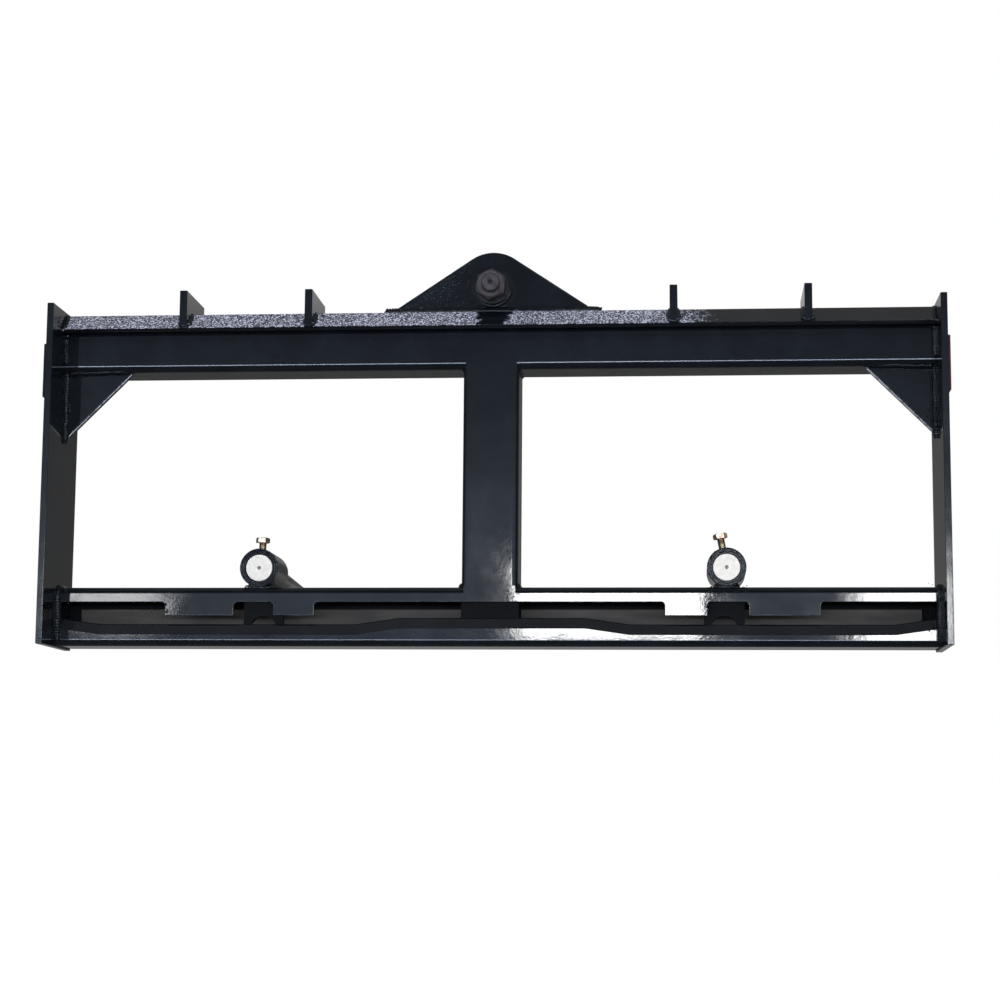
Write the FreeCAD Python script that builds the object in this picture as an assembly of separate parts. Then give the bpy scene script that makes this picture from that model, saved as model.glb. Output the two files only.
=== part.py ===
# Skid-steer quick-attach frame with three bale spears, millimetres, +Z up.
# The loader side faces -Y and the spears point along +Y.
# Heights below are drawn from the bottom edge of the side plates. Every piece is moved down
# on export, so that the origin lies at mid height on the loader-side face of the centre post,
# midway between the side plates. The post and what stands above it were welded a little left of that.
import FreeCAD, Part
import math
import os

Vector = FreeCAD.Vector

# ---- frame ----
frame_width = 1150.0          # over the two side plates
plate_height = 442.0
plate_thickness = 8.5
plate_depth = 132.0
face_setback = 62.0           # tube faces behind the loader-side edge of the plates
origin_height = plate_height / 2
edge_round = 0.8              # eased edge of every cut plate

tube_size = 68.0              # square tube of the top rail and the centre post
tube_wall = 5.0
tube_radius = 8.0
top_tube_bottom = 362.0
post_width = 72.5
post_centre = -2.8            # across the frame, from the middle between the side plates
centre_offset = -2.0          # the same for the mount plates, the sleeve and the spear they carry

lip_width = 31.0              # 45 degree flat bar that hooks over the loader plate
lip_thickness = 6.0
lip_above_tangent = 9.5       # how far the bar runs up past the tube corner it lies on

lug_thickness = 10.0
lug_centres = {"outer_left": -404.5, "inner_left": -239.5, "inner_right": 233.1, "outer_right": 404.5}
lug_front = -26.0
lug_back = 76.0
lug_top = 464.5

gusset_leg = 87.0
gusset_thickness = 8.0
gusset_recess = 9.0           # gusset face behind the tube face
gusset_clip = 9.0             # corner cut off to clear the tube weld
gusset_blunt = 3.0            # square land at each sharp corner
gusset_round = 1.5            # rounded edges on the loader side

pad_thickness = 3.0
pad_depth = 44.0
pad_bottom = 318.0
pad_height = 70.0
pad_inset = 2.0               # behind the plate's loader-side edge

# ---- bottom beam: two folded channels and a flat bar behind ----
beam_bottom = 2.0
beam_height = 76.0
beam_wall = 8.0
beam_seam = 40.0              # height where the two channels meet at the back
notch_top = 59.0
tab_bottom = 41.5
notch_radius = 5.0
notch_overrun = 20.0          # how far a notch's cutter runs on past the metal
# ends of the notches between the tabs; the outermost two run out to the side plates
outer_notch_left, outer_notch_right = -423.5, 416.8
narrow_notch_left, narrow_notch_right = (-334.0, -282.0), (274.2, 327.1)
wide_notch = (-229.0, 221.2)
lip_bevel = 13.8              # height of the bevel along the front lip
lip_low = 30.5
lip_high = 38.6
lip_rise_inner = 120.0        # the lip is high inside this distance from the centre
lip_low_inner = 176.0         # and low from here
lip_low_outer = 510.0         # to here
back_bar_thickness = 6.0
back_bar_half = 548.0
back_bar_top = 53.5
post_foot_half = 37.0
post_foot_wall = 5.0

# ---- spears, sleeves and fasteners ----
sleeve_outer = 25.0           # radius
sleeve_bore = 18.05
sleeve_length = 72.5
sleeve_centres = {"left": -301.6, "right": 299.2}   # the stabiliser sleeves, across the frame
saddle_offset = 296.0         # saddles inside the beam, from the middle
saddle_half = 25.7
saddle_arch_height = 23.0     # centre of the arch
stabiliser_head = 18.0        # radius of the turned head inside the sleeve
stabiliser_body = 11.0
stabiliser_length = 445.0
stabiliser_taper_start = 180.0
spear_tip_radius = 2.5

stabiliser_front = 1.0        # head behind the sleeve's front face
head_chamfer = 1.0
shoulder_back = 2.0           # head ends this far inside the sleeve
shoulder_length = 20.0
# centre drill marks: radius at the face, radius at the bottom, depth
centre_drill = {"stabiliser": (2.5, 0.6, 1.6), "main": (3.4, 0.8, 2.5)}

bolt_radius = 5.0
bolt_hole_radius = 5.05
bolt_hole_length = 30.0
bolt_pitch = 1.5
bolt_thread_depth = 0.8
bolt_length = 16.0
bolt_head_flats = 16.0
bolt_head_height = 6.5
bolt_along_sleeve = 18.0
bolt_tip_gap = 0.4            # bolt tip above the spear when screwed in
set_bolts = {"left": (1.7, 0.0), "right": (-10.8, 4.5)}   # lean in degrees, backed off by

top_sleeve_height = 468.5
top_sleeve_front = -4.0
top_sleeve_back = 84.0
mount_plate_radius = 50.0     # rounded top, round the sleeve
mount_plate_slope = 33.7      # degrees, sides of the triangular plates
mount_plate_front = (10.0, 22.0)
mount_plate_rear = (56.0, 66.0)
shank_radius = 12.0
shank_pitch = 3.0
shank_thread_depth = 1.5
thread_end = -6.0             # thread runs from the shank's end to here
shank_clearance = 0.05
cone_start = 6.0
cone_small = 14.0
cone_large = 21.0
cone_gap = 0.3
top_spear_body = 20.0
top_spear_taper_start = 250.0
top_spear_end = 450.0
top_spear_tip = 4.0           # length of the blunt tip
shank_end = -36.0
washer_radius = 22.0
washer_thickness = 4.0
nut_flats = 36.0
nut_thickness = 19.0
nut_turned = 24.0             # degrees, anticlockwise seen from the loader side
hexagon_face = 0.95           # share of the flats left by the corner chamfer
hexagon_chamfer = 30.0        # degrees
stack_gap = 0.3               # between sleeve, washer and nut

# ---- worked out from the above ----
half_inside = frame_width / 2 - plate_thickness
top_tube_top = top_tube_bottom + tube_size
beam_top = beam_bottom + beam_height
sleeve_height = beam_top + sleeve_outer


def box(x_range, y_range, z_range):
    corner = Vector(x_range[0], y_range[0], z_range[0])
    return Part.makeBox(x_range[1] - x_range[0], y_range[1] - y_range[0], z_range[1] - z_range[0], corner)


def edges_along(shape, direction):
    found = []
    for edge in shape.Edges:
        span = edge.Vertexes[-1].Point - edge.Vertexes[0].Point
        if span.Length > 0 and abs(span.normalize().dot(direction)) > 0.999:
            found.append(edge)
    return found


def rounded_box(x_range, y_range, z_range, direction, radius):
    solid = box(x_range, y_range, z_range)
    return solid.makeFillet(radius, edges_along(solid, direction))


def shrink(value_range, wall):
    return (value_range[0] + wall, value_range[1] - wall)


def extruded(points, direction):
    face = Part.Face(Part.makePolygon(points + [points[0]]))
    return face.extrude(direction)


def cylinder_y(radius, y_range, x, z):
    return Part.makeCylinder(radius, y_range[1] - y_range[0], Vector(x, y_range[0], z), Vector(0, 1, 0))


def turned(profile, x, z):
    # profile: (distance along Y, radius) pairs, revolved about the spear's axis
    start, end = profile[0][0], profile[-1][0]
    points = [Vector(x, start, z)]
    points += [Vector(x + radius, along, z) for along, radius in profile]
    points.append(Vector(x, end, z))
    face = Part.Face(Part.makePolygon(points + [points[0]]))
    return face.revolve(Vector(x, 0, z), Vector(0, 1, 0), 360)


def square_tube_x():
    x_range = (-half_inside, half_inside)
    y_range = (0.0, tube_size)
    z_range = (top_tube_bottom, top_tube_top)
    along = Vector(1, 0, 0)
    outside = rounded_box(x_range, y_range, z_range, along, tube_radius)
    inner_radius = tube_radius - tube_wall
    return outside.cut(rounded_box(x_range, shrink(y_range, tube_wall), shrink(z_range, tube_wall),
                                   along, inner_radius))


def centre_post():
    x_range = (post_centre - post_width / 2, post_centre + post_width / 2)
    y_range = (0.0, tube_size)
    z_range = (beam_top, top_tube_bottom)
    up = Vector(0, 0, 1)
    outside = rounded_box(x_range, y_range, z_range, up, tube_radius)
    inner_radius = tube_radius - tube_wall
    return outside.cut(rounded_box(shrink(x_range, tube_wall), shrink(y_range, tube_wall), z_range,
                                   up, inner_radius))


def side_plate(side):
    inner, outer = side * half_inside, side * frame_width / 2
    solid = box((min(inner, outer), max(inner, outer)), (-face_setback, plate_depth - face_setback),
                (0.0, plate_height))
    return solid.makeFillet(edge_round, solid.Edges)


def side_pad(side):
    inner, outer = side * frame_width / 2, side * (frame_width / 2 + pad_thickness)
    front = pad_inset - face_setback
    solid = box((min(inner, outer), max(inner, outer)), (front, front + pad_depth),
                (pad_bottom, pad_bottom + pad_height))
    return solid.makeFillet(edge_round, solid.Edges)


def lip_point(along, out):
    # a point in the lip's section: along its slope from the tube corner, and out from that corner
    step = math.sqrt(0.5)
    corner_y, corner_z = tube_radius, top_tube_top - tube_radius
    return (corner_y + step * (along - out), corner_z + step * (along + out))


def lip_section():
    low = lip_above_tangent - lip_width
    return [lip_point(low, tube_radius), lip_point(lip_above_tangent, tube_radius),
            lip_point(lip_above_tangent, tube_radius + lip_thickness),
            lip_point(low, tube_radius + lip_thickness)]


def top_lip():
    points = [Vector(-half_inside, y, z) for y, z in lip_section()]
    return extruded(points, Vector(2 * half_inside, 0, 0))


def top_lug(centre):
    start = centre - lug_thickness / 2
    top_inner, top_outer, low_outer = lip_section()[1:]
    outline = [(lug_front, lug_top), (lug_back, lug_top), (lug_back, top_tube_top),
               (top_inner[0], top_tube_top), top_inner, top_outer, low_outer, (lug_front, low_outer[1])]
    solid = extruded([Vector(start, y, z) for y, z in outline], Vector(lug_thickness, 0, 0))
    outer = [edge for edge in solid.Edges if min(v.Z for v in edge.Vertexes) > lug_top - 1
             or max(v.Y for v in edge.Vertexes) < lug_front + 1]
    return solid.makeFillet(edge_round, outer)


def corner_gusset(side):
    # outline as distances from the side plate and from the top tube
    outline = [(gusset_clip, 0), (gusset_leg, 0), (gusset_leg, gusset_blunt),
               (gusset_blunt, gusset_leg), (0, gusset_leg), (0, gusset_clip)]
    points = [Vector(side * (half_inside - across), gusset_recess, top_tube_bottom - down)
              for across, down in outline]
    solid = extruded(points, Vector(0, gusset_thickness, 0))
    front = [edge for edge in solid.Edges if max(v.Y for v in edge.Vertexes) < gusset_recess + 0.1]
    return solid.makeFillet(gusset_round, front)


def beam_tube():
    x_range = (-half_inside, half_inside)
    y_range = (0.0, tube_size)
    z_range = (beam_bottom, beam_top)
    along = Vector(1, 0, 0)
    outside = rounded_box(x_range, y_range, z_range, along, tube_radius)
    return outside.cut(box(x_range, shrink(y_range, beam_wall), shrink(z_range, beam_wall)))


def upper_channel():
    # folded channel, open below: its front leg carries the tabs between the notches
    keep = box((-half_inside, half_inside), (-1, tube_size + 1), (beam_seam, beam_top + 1))
    solid = beam_tube().common(keep)
    solid = solid.cut(box((-half_inside, half_inside), (-1, beam_wall), (beam_seam - 1, tab_bottom)))
    past_end = half_inside + notch_overrun
    notches = [(-past_end, outer_notch_left), narrow_notch_left, wide_notch, narrow_notch_right,
               (outer_notch_right, past_end)]
    for notch in notches:
        cutter = rounded_box(notch, (-1, beam_wall), (beam_seam - notch_overrun, notch_top),
                             Vector(0, 1, 0), notch_radius)
        solid = solid.cut(cutter)
    return solid


def lip_cutter(x_start, height_start, x_end, height_end):
    # everything above the bevelled front lip, between two stations along the beam
    wires = []
    slope = lip_bevel / beam_wall
    front = -1.0
    for x, height in ((x_start, height_start), (x_end, height_end)):
        section = [(front, beam_top), (beam_wall, beam_top), (beam_wall, height),
                   (front, height - slope * (beam_wall - front))]
        points = [Vector(x, y, z) for y, z in section]
        wires.append(Part.makePolygon(points + [points[0]]))
    return Part.makeLoft(wires, True, True)


def lower_channel():
    # folded channel, open above: its front leg is a lip with a bevelled, stepped top edge
    keep = box((-half_inside, half_inside), (-1, tube_size + 1), (beam_bottom - 1, beam_seam))
    solid = beam_tube().common(keep)
    right_side = [(0.0, lip_high), (lip_rise_inner, lip_high), (lip_low_inner, lip_low),
                  (lip_low_outer, lip_low), (half_inside, lip_high)]
    for side in (-1, 1):
        for near, far in zip(right_side, right_side[1:]):
            solid = solid.cut(lip_cutter(side * near[0], near[1], side * far[0], far[1]))
    return solid


def back_bar():
    back = tube_size - beam_wall
    return box((-back_bar_half, back_bar_half), (back - back_bar_thickness, back),
               (beam_bottom + beam_wall, back_bar_top))


def post_foot():
    x_range = (post_centre - post_foot_half, post_centre + post_foot_half)
    y_range = (beam_wall, tube_size - beam_wall - back_bar_thickness)
    z_range = (beam_bottom + beam_wall, beam_top - beam_wall)
    hollow = box(shrink(x_range, post_foot_wall), shrink(y_range, post_foot_wall), z_range)
    return box(x_range, y_range, z_range).cut(hollow)


def sleeve_saddle(side):
    centre = side * saddle_offset
    y_range = (beam_wall, 2 * beam_wall)
    floor = beam_bottom + beam_wall
    plate = box((centre - saddle_half, centre + saddle_half), y_range, (floor, beam_top - beam_wall))
    plate = plate.cut(cylinder_y(sleeve_bore, y_range, centre, saddle_arch_height))
    return plate.cut(box((centre - sleeve_bore, centre + sleeve_bore), y_range, (floor, saddle_arch_height)))


def leaned(shape, side_name):
    # turns a piece drawn upright on a sleeve's axis by the set bolt's lean
    lean = set_bolts[side_name][0]
    shape.rotate(Vector(0, 0, 0), Vector(0, 1, 0), lean)
    shape.translate(Vector(sleeve_centres[side_name], bolt_along_sleeve, sleeve_height))
    return shape


def stabiliser_sleeve(side_name):
    x = sleeve_centres[side_name]
    y_range = (0.0, sleeve_length)
    tube = cylinder_y(sleeve_outer, y_range, x, sleeve_height)
    tube = tube.cut(cylinder_y(sleeve_bore, y_range, x, sleeve_height))
    hole = leaned(Part.makeCylinder(bolt_hole_radius, bolt_hole_length), side_name)
    return tube.cut(hole)


def hexagon(flats, height):
    corner = flats / math.sqrt(3)
    points = [Vector(corner * math.cos(math.radians(60 * i)), corner * math.sin(math.radians(60 * i)), 0)
              for i in range(6)]
    return extruded(points, Vector(0, 0, height))


def chamfered_hexagon(flats, height, both_ends):
    corner = flats / math.sqrt(3)
    rim = corner - hexagon_face * flats / 2
    depth = rim * math.tan(math.radians(hexagon_chamfer))
    top = Part.makeCone(corner, corner - rim, depth, Vector(0, 0, height - depth))
    foot = depth if both_ends else 0
    envelope = Part.makeCylinder(corner, height - depth - foot, Vector(0, 0, foot)).fuse(top)
    if both_ends:
        envelope = envelope.fuse(Part.makeCone(corner - rim, corner, depth))
    return hexagon(flats, height).common(envelope)


def thread_profile(start, end, pitch, crest, depth):
    # ring grooves that stand in for a thread, as (distance, radius) pairs
    profile = []
    for turn in range(int((end - start) / pitch)):
        foot = start + turn * pitch
        profile += [(foot, crest), (foot + pitch / 2, crest - depth)]
    return profile + [(end, crest)]


def set_bolt(side_name):
    backed_off = set_bolts[side_name][1]
    tip = stabiliser_head + bolt_tip_gap + backed_off
    profile = [(tip, bolt_radius - bolt_thread_depth)]
    profile += thread_profile(tip + bolt_pitch / 2, tip + bolt_length, bolt_pitch, bolt_radius,
                              bolt_thread_depth)
    shank = turned(profile, 0, 0)
    shank.rotate(Vector(0, 0, 0), Vector(1, 0, 0), 90)
    head = chamfered_hexagon(bolt_head_flats, bolt_head_height, False)
    head.translate(Vector(0, 0, tip + bolt_length))
    return leaned(shank.fuse(head).removeSplitter(), side_name)


def drilled(spear, mark, x, front, height):
    # centre drill mark left in a turned end
    face_radius, bottom_radius, depth = centre_drill[mark]
    hole = Part.makeCone(face_radius, bottom_radius, depth, Vector(x, front, height), Vector(0, 1, 0))
    return spear.cut(hole)


def stabiliser_spear(side_name):
    front, end = stabiliser_front, stabiliser_front + stabiliser_length
    shoulder = sleeve_length - shoulder_back
    profile = [(front, stabiliser_head - head_chamfer), (front + head_chamfer, stabiliser_head),
               (shoulder, stabiliser_head), (shoulder + shoulder_length, stabiliser_body),
               (stabiliser_taper_start, stabiliser_body), (end, spear_tip_radius)]
    x = sleeve_centres[side_name]
    return drilled(turned(profile, x, sleeve_height), "stabiliser", x, front, sleeve_height)


def mount_plate(y_range):
    # triangle with a round top, tangent to both sloping sides
    slope = math.radians(mount_plate_slope)
    tangent_x = mount_plate_radius * math.sin(slope)
    tangent_z = top_sleeve_height + mount_plate_radius * math.cos(slope)
    base_half = tangent_x + (tangent_z - top_tube_top) / math.tan(slope)
    front = y_range[0]
    left, right = Vector(-tangent_x, front, tangent_z), Vector(tangent_x, front, tangent_z)
    base_left, base_right = Vector(-base_half, front, top_tube_top), Vector(base_half, front, top_tube_top)
    summit = Vector(0, front, top_sleeve_height + mount_plate_radius)
    edges = [Part.makeLine(base_left, left), Part.Arc(left, summit, right).toShape(),
             Part.makeLine(right, base_right), Part.makeLine(base_right, base_left)]
    plate = Part.Face(Part.Wire(edges)).extrude(Vector(0, y_range[1] - front, 0))
    return plate.cut(cylinder_y(sleeve_outer, y_range, 0, top_sleeve_height))


def cone_radius(along):
    share = (along - cone_start) / (top_sleeve_back - cone_start)
    return cone_small + share * (cone_large - cone_small)


def top_sleeve():
    outside = cylinder_y(sleeve_outer, (top_sleeve_front, top_sleeve_back), 0, top_sleeve_height)
    bore = [(top_sleeve_front, shank_radius + cone_gap), (cone_start - 2, shank_radius + cone_gap),
            (cone_start - 2, cone_radius(cone_start - 2) + cone_gap),
            (top_sleeve_back, cone_radius(top_sleeve_back) + cone_gap)]
    return outside.cut(turned(bore, 0, top_sleeve_height))


def top_spear():
    root = shank_radius - shank_thread_depth
    profile = [(shank_end, root)]
    profile += thread_profile(shank_end + shank_pitch / 2, thread_end, shank_pitch, shank_radius,
                              shank_thread_depth)
    profile += [(cone_start, shank_radius), (cone_start, cone_small), (top_sleeve_back, cone_large),
                (top_sleeve_back + cone_large - top_spear_body, top_spear_body),
                (top_spear_taper_start, top_spear_body), (top_spear_end - top_spear_tip, spear_tip_radius),
                (top_spear_end, 1.0)]
    return drilled(turned(profile, 0, top_sleeve_height), "main", 0, shank_end, top_sleeve_height)


def ring_on_shank(shape, back):
    # lays a piece drawn along +Z onto the shank, its first face towards the sleeve at back
    shape.rotate(Vector(0, 0, 0), Vector(1, 0, 0), 90)
    shape.translate(Vector(0, back, top_sleeve_height))
    return shape


def spear_washer():
    ring = Part.makeCylinder(washer_radius, washer_thickness)
    ring = ring.cut(Part.makeCylinder(shank_radius + cone_gap, washer_thickness))
    return ring_on_shank(ring, top_sleeve_front - stack_gap)


def spear_nut():
    nut = chamfered_hexagon(nut_flats, nut_thickness, True)
    nut = nut.cut(Part.makeCylinder(shank_radius + shank_clearance, nut_thickness))
    nut.rotate(Vector(0, 0, 0), Vector(0, 0, 1), nut_turned)
    return ring_on_shank(nut, top_sleeve_front - 2 * stack_gap - washer_thickness)


def save(name, shape):
    shape.translate(Vector(0, 0, -origin_height))
    shape.exportStep("parts/" + name + ".step")
    print(name, "valid", shape.isValid(), "solids", len(shape.Solids), "volume", round(shape.Volume))


def main():
    os.makedirs("parts", exist_ok=True)
    save("top_tube", square_tube_x())
    save("top_lip", top_lip())
    save("centre_post", centre_post())
    save("upper_beam_channel", upper_channel())
    save("lower_beam_channel", lower_channel())
    save("beam_back_bar", back_bar())
    save("post_foot", post_foot())
    for name, centre in lug_centres.items():
        save("top_lug_" + name, top_lug(centre))
    for side_name, side in (("left", -1), ("right", 1)):
        save("side_plate_" + side_name, side_plate(side))
        save("side_pad_" + side_name, side_pad(side))
        save("corner_gusset_" + side_name, corner_gusset(side))
        save("sleeve_saddle_" + side_name, sleeve_saddle(side))
        save("stabiliser_sleeve_" + side_name, stabiliser_sleeve(side_name))
        save("stabiliser_spear_" + side_name, stabiliser_spear(side_name))
        save("set_bolt_" + side_name, set_bolt(side_name))
    above_post = {"mount_plate_front": mount_plate(mount_plate_front),
                  "mount_plate_rear": mount_plate(mount_plate_rear), "top_sleeve": top_sleeve(),
                  "top_spear": top_spear(), "spear_washer": spear_washer(), "spear_nut": spear_nut()}
    for name, shape in above_post.items():
        shape.translate(Vector(centre_offset, 0, 0))
        save(name, shape)


main()
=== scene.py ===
import math
import random

import bpy
import bmesh
from mathutils import Matrix, Vector


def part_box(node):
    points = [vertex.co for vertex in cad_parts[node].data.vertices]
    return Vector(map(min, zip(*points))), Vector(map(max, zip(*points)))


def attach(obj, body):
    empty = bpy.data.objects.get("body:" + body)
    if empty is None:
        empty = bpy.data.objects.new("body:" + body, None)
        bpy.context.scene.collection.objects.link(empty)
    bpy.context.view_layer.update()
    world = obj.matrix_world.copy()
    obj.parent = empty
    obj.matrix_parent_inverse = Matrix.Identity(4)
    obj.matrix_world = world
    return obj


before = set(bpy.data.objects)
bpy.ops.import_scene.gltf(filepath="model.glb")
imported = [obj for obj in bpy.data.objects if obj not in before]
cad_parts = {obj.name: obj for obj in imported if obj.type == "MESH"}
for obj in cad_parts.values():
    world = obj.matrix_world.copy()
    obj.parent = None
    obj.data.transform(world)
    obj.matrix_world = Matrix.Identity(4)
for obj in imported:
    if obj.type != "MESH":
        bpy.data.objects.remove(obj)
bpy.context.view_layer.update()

mm = 0.001
print("frame loaded:", len(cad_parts), "CAD nodes")


# view, floor and light

cameraValues = {
    "place": (0.25231, -2.81394, -0.42637),  # low in front of the right half, looking up a little
    "turnLeft": 4.922,
    "lookUp": 7.969,
    "roll": 0.449,
    "lens": 79.92,
    "sensor": 36.0,
}


def makeCamera(values):
    data = bpy.data.cameras.new("camera")
    data.lens = values["lens"]
    data.sensor_width = values["sensor"]
    camera = bpy.data.objects.new("camera", data)
    bpy.context.scene.collection.objects.link(camera)
    camera.matrix_world = (
        Matrix.Translation(values["place"])
        @ Matrix.Rotation(math.radians(values["turnLeft"]), 4, "Z")
        @ Matrix.Rotation(math.radians(90.0 + values["lookUp"]), 4, "X")
        @ Matrix.Rotation(math.radians(values["roll"]), 4, "Z")
    )
    bpy.context.scene.camera = camera


def hexColour(text):
    # sRGB hex to the linear colour that nodes work in
    parts = [int(text[i : i + 2], 16) / 255.0 for i in (1, 3, 5)]
    linear = [c / 12.92 if c <= 0.04045 else ((c + 0.055) / 1.055) ** 2.4 for c in parts]
    return (*linear, 1.0)


def addNode(tree, kind, settings=None, links=None):
    # lower-case settings belong to the node, the others are its sockets by name or number
    node = tree.nodes.new(kind)
    for key, value in (settings or {}).items():
        if isinstance(key, str) and key[0].islower():
            setattr(node, key, value)
        else:
            node.inputs[key].default_value = value
    for key, source in (links or {}).items():
        tree.links.new(source, node.inputs[key])
    return node


def setRamp(node, stops):
    ramp = node.color_ramp
    while len(ramp.elements) > 1:
        ramp.elements.remove(ramp.elements[-1])
    ramp.elements[0].position = stops[0][0]
    ramp.elements[0].color = stops[0][1]
    for place, colour in stops[1:]:
        ramp.elements.new(place).color = colour


skyValues = {
    "lowest": -0.30,   # sine of the height angle where the ramps start
    "highest": 0.40,
    # brightness by height angle's sine, in front of the frame and behind it
    "front": [(-0.30, 0.06), (-0.05, 0.14), (0.0, 0.30), (0.063, 0.55), (0.096, 0.80), (0.139, 0.70),
              (0.162, 0.44), (0.186, 0.31), (0.208, 0.21), (0.237, 0.18), (0.30, 0.16), (0.40, 0.03)],
    "back": [(-0.30, 0.08), (-0.20, 0.10), (-0.07, 0.26), (0.0, 0.30), (0.06, 0.14), (0.20, 0.11),
             (0.235, 0.55), (0.33, 0.60), (0.40, 0.35)],
    "tint": (0.84, 1.0, 1.26, 1.0),   # open shade is bluish
    "stripLow": -0.03,
    "stripHigh": 0.034,
    "stripStrength": 60.0,            # bright strip just above the horizon
    "frontFrom": -0.35,               # Y of a direction where the front ramp starts to fade in
    "frontTo": -0.60,
    "backdrop": "#ffffff",
}


def makeSky(values):
    world = bpy.data.worlds.new("softStudio")
    bpy.context.scene.world = world
    world.use_nodes = True
    tree = world.node_tree
    tree.nodes.clear()
    span = values["highest"] - values["lowest"]
    place = addNode(tree, "ShaderNodeTexCoord")
    axes = addNode(tree, "ShaderNodeSeparateXYZ", links={0: place.outputs["Generated"]})
    height = addNode(tree, "ShaderNodeMapRange",
                     {"From Min": values["lowest"], "From Max": values["highest"]},
                     {"Value": axes.outputs["Z"]})
    ramps = {}
    for side in ("front", "back"):
        ramps[side] = addNode(tree, "ShaderNodeValToRGB", links={"Fac": height.outputs[0]})
        setRamp(ramps[side], [((sine - values["lowest"]) / span, (v, v, v, 1.0))
                              for sine, v in values[side]])
    isFront = addNode(tree, "ShaderNodeMapRange", {"From Min": values["frontFrom"],
                                                    "From Max": values["frontTo"]},
                      {"Value": axes.outputs["Y"]})
    tinted = addNode(tree, "ShaderNodeMix", {"data_type": "RGBA", "blend_type": "MULTIPLY",
                                             "Factor": 1.0, 7: values["tint"]},
                     {6: ramps["front"].outputs[0]})
    both = addNode(tree, "ShaderNodeMix", {"data_type": "RGBA"},
                   {"Factor": isFront.outputs[0], 6: ramps["back"].outputs[0],
                    7: tinted.outputs[2]})
    over = addNode(tree, "ShaderNodeMath", {"operation": "GREATER_THAN", 1: values["stripLow"]},
                   {0: axes.outputs["Z"]})
    under = addNode(tree, "ShaderNodeMath", {"operation": "LESS_THAN", 1: values["stripHigh"]},
                    {0: axes.outputs["Z"]})
    strip = addNode(tree, "ShaderNodeMath", {"operation": "MULTIPLY"},
                    {0: over.outputs[0], 1: under.outputs[0]})
    frontStrip = addNode(tree, "ShaderNodeMath", {"operation": "MULTIPLY"},
                         {0: strip.outputs[0], 1: isFront.outputs[0]})
    strength = addNode(tree, "ShaderNodeMath", {"operation": "MULTIPLY_ADD",
                                                1: values["stripStrength"], 2: 1.0},
                       {0: frontStrip.outputs[0]})
    light = addNode(tree, "ShaderNodeBackground", links={"Color": both.outputs[2],
                                                         "Strength": strength.outputs[0]})
    backdrop = addNode(tree, "ShaderNodeBackground", {"Color": hexColour(values["backdrop"])})
    rays = addNode(tree, "ShaderNodeLightPath")
    mix = addNode(tree, "ShaderNodeMixShader", links={0: rays.outputs["Is Camera Ray"],
                                                      1: light.outputs[0], 2: backdrop.outputs[0]})
    addNode(tree, "ShaderNodeOutputWorld", links={0: mix.outputs[0]})


lightValues = {
    # name: (place, aimed at, width, height, watts)
    "frontSoftbox": ((0.1, -2.6, 2.5), (0.0, 0.0, 0.0), 2.4, 1.0, 130.0),
    "backSoftbox": ((-0.6, 2.6, 2.2), (0.0, 0.1, 0.0), 1.6, 1.0, 40.0),
    # far panels that the glossy faces mirror as crisp patches
    "panelMiddle": ((-0.56, -20.0, 1.73), (0.0, 0.0, -0.1), 1.90, 0.80, 190.0),
    "panelRight": ((2.40, -20.0, 1.58), (0.5, 0.0, -0.1), 0.85, 0.75, 80.0),
    "panelLeft": ((-5.75, -20.0, 1.70), (-0.5, 0.0, -0.1), 1.05, 0.40, 16.0),
}


def makeLights(values):
    for name, (place, aim, width, height, watts) in values.items():
        data = bpy.data.lights.new(name, "AREA")
        data.shape = "RECTANGLE"
        data.size = width
        data.size_y = height
        data.energy = watts
        lamp = bpy.data.objects.new(name, data)
        bpy.context.scene.collection.objects.link(lamp)
        lamp.location = place
        # the softboxes only fill: mirrored in the gloss they would draw lines along every corner
        lamp.visible_glossy = not name.endswith("Softbox")
        lamp.rotation_euler = (Vector(aim) - Vector(place)).to_track_quat("-Z", "Y").to_euler()


floorValues = {"height": -0.62, "size": 7.0, "centreY": 0.2, "colour": "#ffffff", "glow": 0.75,
               "roughness": 0.9}


def makeFloor(values):
    # below the camera, because the frame is seen from under its bottom edge
    bpy.ops.object.select_all(action="DESELECT")
    bpy.ops.mesh.primitive_plane_add(size=values["size"],
                                     location=(0.0, values["centreY"], values["height"]))
    floor = bpy.context.object
    floor.name = "studioFloor"
    bpy.ops.object.transform_apply(location=True, rotation=True, scale=True)
    paint = bpy.data.materials.new("paleFloorPaint")
    paint.use_nodes = True
    shader = paint.node_tree.nodes["Principled BSDF"]
    shader.inputs["Base Color"].default_value = hexColour(values["colour"])
    shader.inputs["Roughness"].default_value = values["roughness"]
    shader.inputs["Emission Color"].default_value = hexColour(values["colour"])
    shader.inputs["Emission Strength"].default_value = values["glow"]
    floor.data.materials.append(paint)
    floor.visible_glossy = False


makeCamera(cameraValues)
makeSky(skyValues)
makeLights(lightValues)
makeFloor(floorValues)
bpy.context.scene.view_settings.view_transform = "Standard"
print("camera, floor and lights placed")


# where the CAD pieces lie

def centreOf(name):
    low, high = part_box(name)
    return [(a + b) / 2 for a, b in zip(low, high)]


tubeLow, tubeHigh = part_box("top_tube")
postLow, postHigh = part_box("centre_post")
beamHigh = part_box("upper_beam_channel")[1]
lipLow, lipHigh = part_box("top_lip")
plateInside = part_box("side_plate_right")[0][0]
gussetLow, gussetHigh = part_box("corner_gusset_right")
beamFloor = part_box("lower_beam_channel")[0][2]
mountLow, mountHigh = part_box("mount_plate_front")
rearLow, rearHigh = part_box("mount_plate_rear")
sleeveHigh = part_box("stabiliser_sleeve_right")[1]
sleeveCentres = {-1: centreOf("stabiliser_sleeve_left"), 1: centreOf("stabiliser_sleeve_right")}
topAxis = centreOf("spear_nut")
lugs = [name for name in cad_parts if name.startswith("top_lug_")]


# materials

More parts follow.
